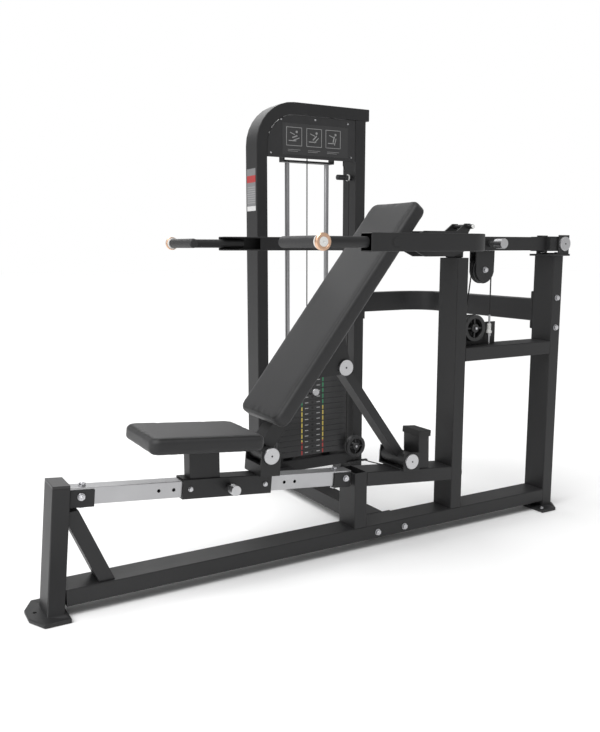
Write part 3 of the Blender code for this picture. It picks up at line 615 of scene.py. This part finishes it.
def bearing(name, centre, axis, body, half):
    """Bright axle seen through the wheel's hub, with a domed end on each side."""
    dome = [(0, -half), (0.0040, -half), (0.0052, 0.0012 - half),
            (0.0052, half - 0.0012), (0.0040, half), (0, half)]
    return fit(turned(name, dome, centre, axis, 28), body, "satin_steel", zinc)


bearing("lift_axle", LIFT_HUB, YY, "press_arm", 0.0200)
bearing("guide_axle", GUIDE_HUB + YY * 0.001, YY, "frame", 0.0190)
bearing("low_axle", LOW_HUB + YY * 0.004, YY, "frame", 0.0190)
bearing("base_axle", BASE_HUB, XX, "frame", 0.0210)
CHEEK_X, CHEEK_OFF, CHEEK_HALF = 1.534, 0.0165, 0.002
for tag, side in (("front", -1), ("rear", 1)):
    x = CHEEK_X + side * CHEEK_OFF
    cheek = slab(f"base_wheel_cheek_{tag}", (x - CHEEK_HALF, 0.020, 0.0802),
                 (x + CHEEK_HALF, 0.074, 0.222), 0.0008)
    fit(cheek, "frame", "paint", paint)

# %% [markdown]
# Two more wheels sit behind the sign at the top of the tower and turn the cable over from
# the stack to the drop beside the right upright.
# %% Top wheels
STACK_X, TOWER_Y, TOP_Z = 1.3315, 0.796, 1.520
DROP_X, TURN_Y, TURN_R = 1.4978, 0.767, 0.040
for tag, x, y in (("left", STACK_X + TURN_R, TOWER_Y), ("right", DROP_X - TURN_R, TURN_Y)):
    rim = [(0.0050, -0.0080), (0.0360, -0.0080), (0.0400, -0.0070), (0.0372, 0.0), (0.0400, 0.0070),
           (0.0360, 0.0080), (0.0050, 0.0080)]
    fit(turned(f"top_wheel_{tag}", rim, (x, y, TOP_Z), YY, 48), "frame", "plastic", black_plastic)
    bearing(f"top_axle_{tag}", Vector((x, y, TOP_Z)), YY, "frame", 0.0110)

# %% [markdown]
# Every weight plate is the same cast slab.  The imported head plate has its outline and its
# three holes, so a merged copy of it gets broken edges and is repeated down the stack.
# The number strips are painted by position: ticks beside the pin holes, and a green, a
# yellow and a red stretch down each side.  The pin holes themselves are near-black spots of
# painted shade, pressed in by the bump.
# %% Weight plates
PLATE_T, STACK_FOOT, RESTING, LIFTED = 0.025, 0.121, 11, 3


def cast_plate():
    made, at, surface = new_finish("cast_plate", coat=0.15)
    split = at.tree.nodes.new("ShaderNodeSeparateXYZ")
    at.tree.links.new(at.socket, split.inputs[0])
    x, y, z = (Signal(at.tree, split.outputs[i]) for i in range(3))
    across = x - STACK_X
    level = (z - STACK_FOOT) % PLATE_T - PLATE_T / 2
    face = y < 0.7463
    upper = (z < STACK_FOOT + (RESTING + LIFTED) * PLATE_T)
    middle_mask = (abs(level) < 0.0095) * face * upper
    # Painted shade: a near-black spot with a dip in the bump for each pin hole's shaded inside.
    hole_shade = ((across * across + level * level) < 0.0058 ** 2) * face * upper
    tick = (abs(abs(across) - 0.0300) < 0.0085) * (abs(level) < 0.0016) * face * upper
    strip = (abs(abs(across) - 0.0540) < 0.0032) * middle_mask
    grain = noise(at, 220.0, 4.0)
    base = mixed(grain, (0.018, 0.018, 0.019), (0.030, 0.030, 0.031))
    band = mixed(z > 0.183, (0.42, 0.035, 0.03), (0.66, 0.52, 0.10))
    band = mixed(z > 0.340, band, (0.03, 0.26, 0.11))
    colour = mixed(strip, base, band)
    colour = mixed(tick, colour, (0.50, 0.50, 0.50))
    colour = mixed(hole_shade, colour, (0.002, 0.002, 0.002))
    dress(surface, colour, 0.36 + grain * 0.12, grain * 0.4 - hole_shade * 3.0, 0.2, 0.0008)
    return made


plate_finish = cast_plate()
plate = bpy.data.objects.new("weight_plate", frame["nodes"]["head_plate"].data.copy())
bpy.context.scene.collection.objects.link(plate)
grab(plate)
bpy.ops.object.mode_set(mode="EDIT")
bpy.ops.mesh.select_all(action="SELECT")
bpy.ops.mesh.remove_doubles(threshold=0.00001)
bpy.ops.mesh.dissolve_limited(angle_limit=math.radians(1.0))
bpy.ops.object.mode_set(mode="OBJECT")
soften(plate, 0.0022, 2)
head_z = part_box("head_plate")[0].z
for level in range(RESTING + LIFTED + 1):
    body = "frame" if level < RESTING else "stack"
    drop = Matrix.Translation((0, 0, STACK_FOOT + level * PLATE_T - head_z))
    slab_copy = copied(plate, f"weight_plate_{level:02d}", drop)
    stands_for = {0: ("plates_resting",), RESTING: ("plates_lifted",),
                  RESTING + LIFTED: ("head_plate",)}
    fit(slab_copy, body, "cast_plate", plate_finish, *stands_for.get(level, ()))
bpy.data.objects.remove(plate)
print("stack of", RESTING + LIFTED + 1, "plates")

# %% [markdown]
# Each handle swivels in the arm's fork: a painted stem, a rubber grip across its front, and
# at the outer end a white collar, a copper ring and a white button.
# %% Handles
GRIP_X, GRIP_IN, GRIP_OUT = 0.603, 0.310, 0.522
RIBS, RIB_STEP = 26, 0.0070
for tag, side in (("near", -1), ("far", 1)):
    body, out, bar_end = f"{tag}_handle", side * YY, (GRIP_X, 0, ARM_Z)
    stem = shaft(f"stem_{tag}", 0.0152, 0.2400, (0.7380, side * ARM_Y, ARM_Z), XX, 40, 0.002)
    fit(stem, body, "paint", paint_deep, f"handle_{tag}")
    ribbed = [(0, GRIP_IN), (0.0120, GRIP_IN), (0.0155, GRIP_IN + 0.0035)]
    for i in range(RIBS):
        start = GRIP_IN + 0.006 + i * RIB_STEP
        ribbed += [(0.0159, start), (0.0159, start + 0.0050), (0.0155, start + 0.0060)]
    ribbed += [(0.0155, GRIP_OUT - 0.0215), (0, GRIP_OUT - 0.0215)]
    grip = turned(f"grip_{tag}", ribbed, bar_end, out, 40)
    fit(grip, body, "grip_foam", grip_rubber)
    collar = [(0, GRIP_OUT - 0.0215), (0.0186, GRIP_OUT - 0.0215), (0.0190, GRIP_OUT - 0.0205),
              (0.0190, GRIP_OUT - 0.0125), (0.0180, GRIP_OUT - 0.0115), (0, GRIP_OUT - 0.0115)]
    fit(turned(f"grip_collar_{tag}", collar, bar_end, out), body, "plastic", white_plastic)
    ring = [(0, GRIP_OUT - 0.0114), (0.0215, GRIP_OUT - 0.0114), (0.0225, GRIP_OUT - 0.0100),
            (0.0225, GRIP_OUT - 0.0030), (0.0205, GRIP_OUT - 0.0006), (0.0150, GRIP_OUT - 0.0006),
            (0.0138, GRIP_OUT - 0.0020), (0, GRIP_OUT - 0.0020)]
    fit(turned(f"grip_ring_{tag}", ring, bar_end, out), body, "turned_aluminium", copper)
    button = [(0, GRIP_OUT - 0.0019), (0.0128, GRIP_OUT - 0.0019), (0.0120, GRIP_OUT - 0.0004),
              (0.0034, GRIP_OUT), (0.0026, GRIP_OUT - 0.0012), (0, GRIP_OUT - 0.0012)]
    fit(turned(f"grip_button_{tag}", button, bar_end, out), body, "plastic", white_plastic)

# %% [markdown]
# The pull pins slide in painted housings on the sleeve and the lever.  A housing is a collar
# and a neck, turned with a ring for each thread.
# %% Pin housings
PITCH = 0.0016


def pin_housing(name, centre, start, end, body):
    threads = [(0.0052, start), (0.0115, start), (0.0115, start + 0.008), (0.0092, start + 0.009)]
    for i in range(int((end - start - 0.010) / PITCH)):
        threads += [(0.0092, start + 0.0098 + i * PITCH), (0.0084, start + 0.0106 + i * PITCH)]
    threads += [(0.0088, end), (0.0052, end)]
    piece = turned(name, threads, centre, -YY, 36)
    return fit(piece, body, "paint", paint_deep)


LOCK_X = 0.562
LEVER_PIN_X = 1.615
pin_housing("bench_pin_housing", (LOCK_X, 0, rail(LOCK_X).z), SLEEVE_SIDE, 0.0555, "carriage")
pin_housing("lever_pin_housing", (LEVER_PIN_X, 0, ARM_Z), SLEEVE_SIDE, 0.0665, "press_arm")

# %% [markdown]
# The pads are foam on a board under vinyl.  Pressure in a short cloth simulation crowns the
# cover and draws in its sides, which no bevel does convincingly.  The block starts slightly
# small, its swelling is capped, and its back stays flat against the board.
# %% Padded cushions
def cushion(name, node, facing, swell, voxel, body):
    """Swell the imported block; facing points out of the padded face."""
    source = frame["nodes"][node].data
    piece = bpy.data.objects.new(name, source.copy())
    bpy.context.scene.collection.objects.link(piece)
    grab(piece)
    bpy.ops.object.mode_set(mode="EDIT")
    bpy.ops.mesh.select_all(action="SELECT")
    bpy.ops.mesh.remove_doubles(threshold=0.00001)
    bpy.ops.mesh.normals_make_consistent(inside=False)
    bpy.ops.object.mode_set(mode="OBJECT")
    facing = Vector(facing).normalized()
    points = np.array([v.co for v in piece.data.vertices])
    heights = points @ np.array(facing)
    back = heights.min()
    centre = points.mean(axis=0)
    shrink = 0.994
    for v in piece.data.vertices:
        flat = v.co - facing * v.co.dot(facing)
        home = Vector(centre) - facing * Vector(centre).dot(facing)
        height = back + (v.co.dot(facing) - back) * 0.975
        v.co = home + (flat - home) * shrink + facing * height
    modify(piece, "REMESH", mode="VOXEL", voxel_size=voxel)
    start = np.array([v.co for v in piece.data.vertices])
    grab(piece)
    cloth = piece.modifiers.new("cloth", "CLOTH")
    cloth.settings.quality = 4
    cloth.settings.use_pressure = True
    cloth.settings.uniform_pressure_force = 4.0
    cloth.settings.effector_weights.gravity = 0
    cloth.point_cache.frame_end = 20
    for step in range(1, 21):
        bpy.context.scene.frame_set(step)
    bpy.ops.object.modifier_apply(modifier="cloth")
    bpy.context.scene.frame_set(1)
    moved = np.array([v.co for v in piece.data.vertices]) - start
    reach = np.linalg.norm(moved, axis=1, keepdims=True)
    moved *= np.minimum(1, swell / np.maximum(reach, 1e-9))
    placed = start + moved
    below = placed @ np.array(facing) - back
    placed -= np.outer(np.minimum(below - 0.0003, 0), np.array(facing))
    piece.data.vertices.foreach_set("co", placed.ravel())
    modify(piece, "SUBSURF", levels=1, render_levels=1)
    modify(piece, "SMOOTH", factor=0.5, iterations=1)
    final = np.array([v.co for v in piece.data.vertices])
    for axis in (facing, YY, YY.cross(facing)):
        have, want = final @ np.array(axis), points @ np.array(axis)
        gain = (want.max() - want.min()) / (have.max() - have.min())
        final += np.outer((have - have.min()) * gain + want.min() - have, np.array(axis))
    piece.data.vertices.foreach_set("co", final.ravel())
    grab(piece)
    bpy.ops.object.shade_smooth()
    vinyl = upholstery_vinyl(f"{name}_vinyl", facing, heights.max() - SEAM_SHADE_DEPTH)
    fit(piece, body, "vinyl", vinyl, node)
    print(name, "faces", len(piece.data.polygons))
    return piece


PAD_ANGLE = math.radians(51.8)
pad_out = Vector((-math.sin(PAD_ANGLE), 0, math.cos(PAD_ANGLE)))
cushion("seat_pad", "seat_cushion", lift, 0.0030, 0.0045, "carriage")
cushion("back_pad", "backrest_cushion", pad_out, 0.0030, 0.0055, "backrest")

# %% [markdown]
# The lifting cable runs from the stack over the top wheels, down to the low wheel, along
# the floor to the base wheel and up to the arm.  The stretch above the stack and the stretch in
# the frame hang on the frame, and the loop over the arm's wheel is hung on no body.
# %% Cable
CABLE_R, GROOVE_R, DROP_Y = 0.0025, 0.0472, 0.722


def cable(name, points):
    """A round cable through the points, as a closed mesh tube."""
    line = bpy.data.curves.new(name, "CURVE")
    line.dimensions = "3D"
    line.bevel_depth = CABLE_R
    line.bevel_resolution = 2
    line.use_fill_caps = True
    spline = line.splines.new("POLY")
    spline.points.add(len(points) - 1)
    for knot, point in zip(spline.points, points):
        knot.co = (*point, 1)
    curve = bpy.data.objects.new(name, line)
    bpy.context.scene.collection.objects.link(curve)
    grab(curve)
    bpy.ops.object.convert(target="MESH")
    piece = bpy.context.object
    bpy.ops.object.mode_set(mode="EDIT")
    bpy.ops.mesh.select_all(action="SELECT")
    bpy.ops.mesh.remove_doubles(threshold=0.00001)
    bpy.ops.mesh.normals_make_consistent(inside=False)
    bpy.ops.object.mode_set(mode="OBJECT")
    return polish(piece, 50)


def straight(start, end, count):
    """Even points between two ends, both included."""
    return [Vector(start).lerp(Vector(end), i / count) for i in range(count + 1)]


TRAVEL, GAP = 0.46, 0.0003
stem_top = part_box("selector_stem")[1].z + GAP
above_stack = cable("cable_above_stack",
                    straight((STACK_X, TOWER_Y, stem_top), (STACK_X, TOWER_Y, TOP_Z), 12))
fit(above_stack, "frame", "cable_jacket", cable_jacket)
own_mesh(above_stack)

route = [Vector((STACK_X, TOWER_Y, TOP_Z))]
route += [Vector((STACK_X + TURN_R - TURN_R * math.cos(a), TOWER_Y, TOP_Z + TURN_R * math.sin(a)))
          for a in (0.25, 0.5, 0.75, 1.0, 1.3, 1.57)]
route.append(Vector((DROP_X - 0.055, TURN_Y, TOP_Z + TURN_R)))
route += [Vector((DROP_X - TURN_R + TURN_R * math.sin(a), TURN_Y, TOP_Z + TURN_R * math.cos(a)))
          for a in (0.3, 0.55, 0.8, 1.05, 1.3)]
route += [Vector((DROP_X, y, z)) for y, z in ((TURN_Y, 1.390), (0.755, 1.370), (DROP_Y, 1.310))]
route += straight((DROP_X, DROP_Y, 1.280), (DROP_X, DROP_Y, LOW_HUB.z), 6)
route += [Vector((LOW_HUB.x - GROOVE_R * math.cos(a), DROP_Y, LOW_HUB.z - GROOVE_R * math.sin(a)))
          for a in (0.2, 0.4, 0.6, 0.8, 1.0, 1.2, 1.4)]
route += [Vector(p) for p in ((1.547, 0.718, 0.0875), (1.549, 0.706, 0.0845), (1.540, 0.600, 0.094))]
route += [BASE_HUB - GROOVE_R * Vector((0, math.sin(a), math.cos(a)))
          for a in (0, 0.2, 0.4, 0.6, 0.8, 1.0, 1.2, 1.4, 1.57)]
route += straight((BASE_HUB.x, 0, 0.260), (GUIDE_HUB.x - GROOVE_R, 0, GUIDE_HUB.z), 6)
fit(cable("cable_in_frame", route), "frame", "cable_jacket", cable_jacket, "lift_cable")

anchor_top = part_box("cable_anchor")[1].z
loop = straight(route[-1], LIFT_HUB + Vector((-GROOVE_R * 0.990, 0, GROOVE_R * 0.139)), 14)
loop += [LIFT_HUB + GROOVE_R * Vector((math.cos(math.radians(d)), 0, math.sin(math.radians(d))))
         for d in range(160, -1, -12)]
END_X = LIFT_HUB.x + GROOVE_R
loop += straight((END_X, 0, LIFT_HUB.z - 0.008), (END_X, 0, anchor_top + 0.001), 12)
over_arm = cable("cable_over_arm", loop)
over_arm.data.materials.append(cable_jacket)
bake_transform(over_arm)

adjuster = [(0.0042, 0), (0.0105, 0), (0.0105, 0.008), (0.0080, 0.010)]
for i in range(9):
    adjuster += [(0.0080, 0.012 + i * 0.0024), (0.0070, 0.0132 + i * 0.0024)]
adjuster += [(0.0066, 0.036), (0.0042, 0.036)]
sleeve = turned("cable_adjuster", adjuster, (END_X, 0, 0.7192), ZZ, 32)
fit(sleeve, "frame", "plastic", white_plastic)

# %% [markdown]
# The sign at the top of the tower shows how to sit.  It has no wording: a raised panel
# carries three framed figures made only of bench and body lines and a round head, with two
# plain rules under each, and five small screws hold it.
# %% Sign
rounded_steel("placard", 0.0012, black_plastic)
SIGN_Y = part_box("placard")[0].y
PRINT_Y, PRINT_T = SIGN_Y - 0.0018, 0.0008
panel = slab("sign_panel", (1.185, SIGN_Y - 0.0012, 1.418), (1.508, SIGN_Y + 0.0006, 1.545), 0.0006)
fit(panel, "frame", "plastic", sign_grey)


def printed(x0, z0, x1, z1, turn=0.0):
    """A thin raised bar between two corners on the sign's face."""
    return slab("bar", (x0, PRINT_Y, z0), (x1, PRINT_Y + PRINT_T, z1), 0.0002, turn)


FIGURE_Z, HALF, RIM = 1.492, 0.0365, 0.0011
for index, (x, degrees) in enumerate(((1.241, -20), (1.338, -45), (1.4325, -75))):
    lean, z = math.radians(degrees), FIGURE_Z
    bars = [printed(x - HALF, z + s * HALF - RIM, x + HALF, z + s * HALF + RIM) for s in (-1, 1)]
    bars += [printed(x + s * HALF - RIM, z - HALF, x + s * HALF + RIM, z + HALF) for s in (-1, 1)]
    bars.append(printed(x - 0.026, z - 0.0190, x + 0.010, z - 0.0155))
    bars.append(printed(x - 0.004, z - 0.0115, x + 0.026, z - 0.0080, lean))
    bars.append(printed(x - 0.010, z - 0.0030, x + 0.016, z + 0.0020, lean))
    bars.append(printed(x - 0.020, z + 0.0100, x + 0.004, z + 0.0130, 0.35))
    head = (x + 0.012, PRINT_Y + PRINT_T / 2, z + 0.0190)
    bars.append(shaft("head_dot", 0.0050, PRINT_T, head, YY, 24, 0.0001))
    fit(joined(f"sign_figure_{index}", bars), "frame", "plastic", sign_white)
    rules = [printed(x - 0.030, 1.438 - i * 0.006, x + 0.030 - 0.012 * i, 1.4395 - i * 0.006)
             for i in range(2)]
    fit(joined(f"sign_rule_{index}", rules), "frame", "plastic", sign_white)
bolts("sign_screws", "frame", [((x, SIGN_Y - 0.0002, z), -YY) for x, z in
      ((1.180, 1.557), (1.344, 1.5650), (1.508, 1.561), (1.132, 1.421), (1.526, 1.421))],
      bolt_head(0.0055, "bolt_master_screw"))

# %% [markdown]
# A plain sticker on the left upright stands in for its printed notes: a pale grey block, a
# red stripe and a white foot, with no lettering.
# %% Sticker
def sticker_print():
    made, at, surface = new_finish("sticker_print")
    split = at.tree.nodes.new("ShaderNodeSeparateXYZ")
    at.tree.links.new(at.socket, split.inputs[0])
    z = Signal(at.tree, split.outputs[2])
    y = Signal(at.tree, split.outputs[1])
    tone = noise(at, 80.0, 2.0)
    grey = mixed(tone, (0.16, 0.16, 0.165), (0.20, 0.20, 0.205))
    rows = (((z - 1.2) % 0.009) < 0.0022) * (abs(y - TOWER_Y) < 0.036) * (z < 1.290) * (z > 1.215)
    colour = mixed(rows, grey, (0.34, 0.34, 0.34))
    colour = mixed((abs(z - 1.315) < 0.014), colour, (0.36, 0.03, 0.03))
    colour = mixed((z < 1.205), colour, (0.60, 0.60, 0.60))
    dress(surface, colour, 0.35 + tone * 0.1, tone, 0.02, 0.0002)
    return made


TOWER_FACE = 1.064
note = slab("upright_sticker", (TOWER_FACE - 0.0004, 0.757, 1.186),
            (TOWER_FACE - 0.00002, 0.835, 1.357), 0.0001)
fit(note, "frame", "plastic", sticker_print())

# %% [markdown]
# A short peg inside the right upright stores the spare pin: black, with a white ring.
# %% Storage peg
PEG_Y, PEG_Z = 0.785, 1.340
peg = [(0, 0), (0.0110, 0), (0.0110, 0.022), (0.0100, 0.024), (0.0100, 0.040), (0.0115, 0.042),
       (0.0115, 0.070), (0.0105, 0.071), (0, 0.071)]
fit(turned("storage_peg", peg, (1.5488, PEG_Y, PEG_Z), -XX, 36), "frame", "plastic", black_plastic)
ring = [(0.0112, 0), (0.0150, 0), (0.0150, 0.005), (0.0112, 0.005)]
collar = turned("storage_peg_ring", ring, (1.5360, PEG_Y, PEG_Z), -XX, 36)
fit(collar, "frame", "plastic", white_plastic)
cap = [(0, 0), (0.0068, 0), (0.0068, 0.0030), (0.0050, 0.0042), (0, 0.0042)]
tip = turned("lever_peg_cap", cap, (1.503, -0.0618, 1.109), -YY, 28)
fit(tip, "press_arm", "plastic", white_plastic)

# %% [markdown]
# Pivot discs show a small set screw at their middle.
# %% Disc screws
SCREW = [(0, 0), (0.0032, 0), (0.0032, 0.0004), (0.0022, 0.0009), (0, 0.0009)]
for node, body in (("back_pin", "carriage"), ("strut_pin", "frame"),
                   ("strut_top_pin", "backrest"), ("lever_axle", "frame")):
    low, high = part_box(node)
    centre = middle(node)
    for tag, side, y in (("near", -1, low.y), ("far", 1, high.y)):
        piece = turned(f"{node}_screw_{tag}", SCREW, (centre.x, y, centre.z), side * YY, 20)
        fit(piece, body, "satin_steel", black_plastic)
for master in (master_large, master_small, bpy.data.objects["bolt_master_screw"]):
    bpy.data.objects.remove(master)

# %% [markdown]
# The room is a plain pale floor under two large soft lights, a key from the front left and
# a rim from behind, and a broad overhead light, with an even pale surround.
# %% Floor and lights
calm()
bpy.ops.mesh.primitive_plane_add(size=60, location=(0, 0, -0.0005))
floor = bpy.context.object
floor.name = "floor"
floor_finish, floor_at, floor_surface = new_finish("floor_paper")
floor_tone = noise(floor_at, 0.8, 2.0)
pale = mixed(floor_tone, (0.86, 0.86, 0.86), (0.88, 0.88, 0.88))
dress(floor_surface, pale, floor_tone * 0.05 + 0.85)
floor.data.materials.append(floor_finish)


def soft_light(name, place, target, size, power):
    lamp = bpy.data.lights.new(name, "AREA")
    lamp.shape = "DISK"
    lamp.size = size
    lamp.energy = power
    made = bpy.data.objects.new(name, lamp)
    bpy.context.scene.collection.objects.link(made)
    made.location = place
    made.rotation_euler = (Vector(target) - Vector(place)).to_track_quat("-Z", "Y").to_euler()


HEART = (1.0, 0.2, 0.7)
soft_light("key", (-3.4, -0.6, 2.6), HEART, 2.4, 60)
soft_light("rim", (1.5, 3.6, 3.2), HEART, 2.6, 40)
sky = bpy.data.lights.new("overhead", "SUN")
sky.energy = 2.6
sky.angle = math.radians(50)
overhead = bpy.data.objects.new("overhead", sky)
bpy.context.scene.collection.objects.link(overhead)
overhead.rotation_euler = Vector((1.0, 0.35, -2.2)).to_track_quat("-Z", "Y").to_euler()
world = bpy.data.worlds.new("surround")
world.use_nodes = True
air = Signal(world.node_tree)
seen = air.node("ShaderNodeLightPath")
backdrop = world.node_tree.nodes["Background"]
world.node_tree.links.new((seen * 0.55 + 0.45).socket, backdrop.inputs["Strength"])
backdrop.inputs["Color"].default_value = (1, 1, 1, 1)
bpy.context.scene.world = world
bpy.context.scene.view_settings.view_transform = "Standard"

# %% [markdown]
# Last, the selection is cleared.
# %% Finish
calm()
